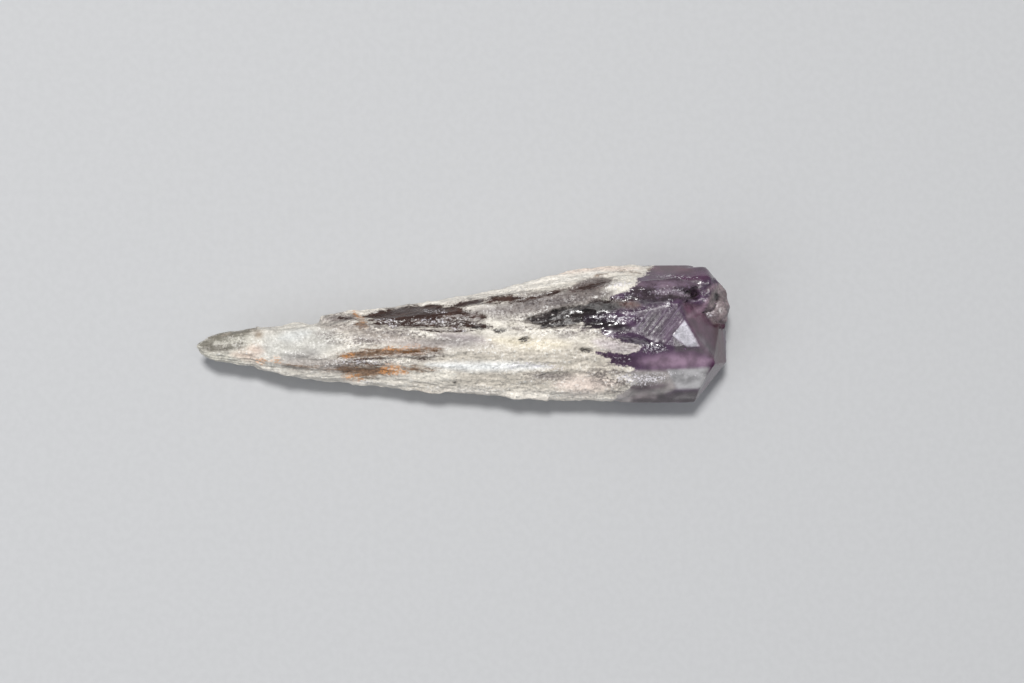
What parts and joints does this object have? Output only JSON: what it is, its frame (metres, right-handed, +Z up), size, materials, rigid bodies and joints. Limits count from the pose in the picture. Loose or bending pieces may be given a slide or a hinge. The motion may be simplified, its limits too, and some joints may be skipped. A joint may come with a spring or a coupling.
{
  "type": "amethyst wand",
  "caption": "Long natural amethyst point lying on a prism face: tapered crusted body, smoky windows, clear violet head with flat end faces.",
  "frame": {"origin": "on the floor, under the middle of the bounding box", "axes": "+X along the crystal, from its broken root to its violet head; +Z up from the prism face it rests on"},
  "size_m": [0.0872, 0.023, 0.0163],
  "materials": {
    "amethyst": "natural quartz: cream crust over smoky brown, clear violet at the head, glassy on the flat faces"
  },
  "bodies": {
    "root": {"amethyst_wand": "amethyst"}
  },
  "joints": []
}
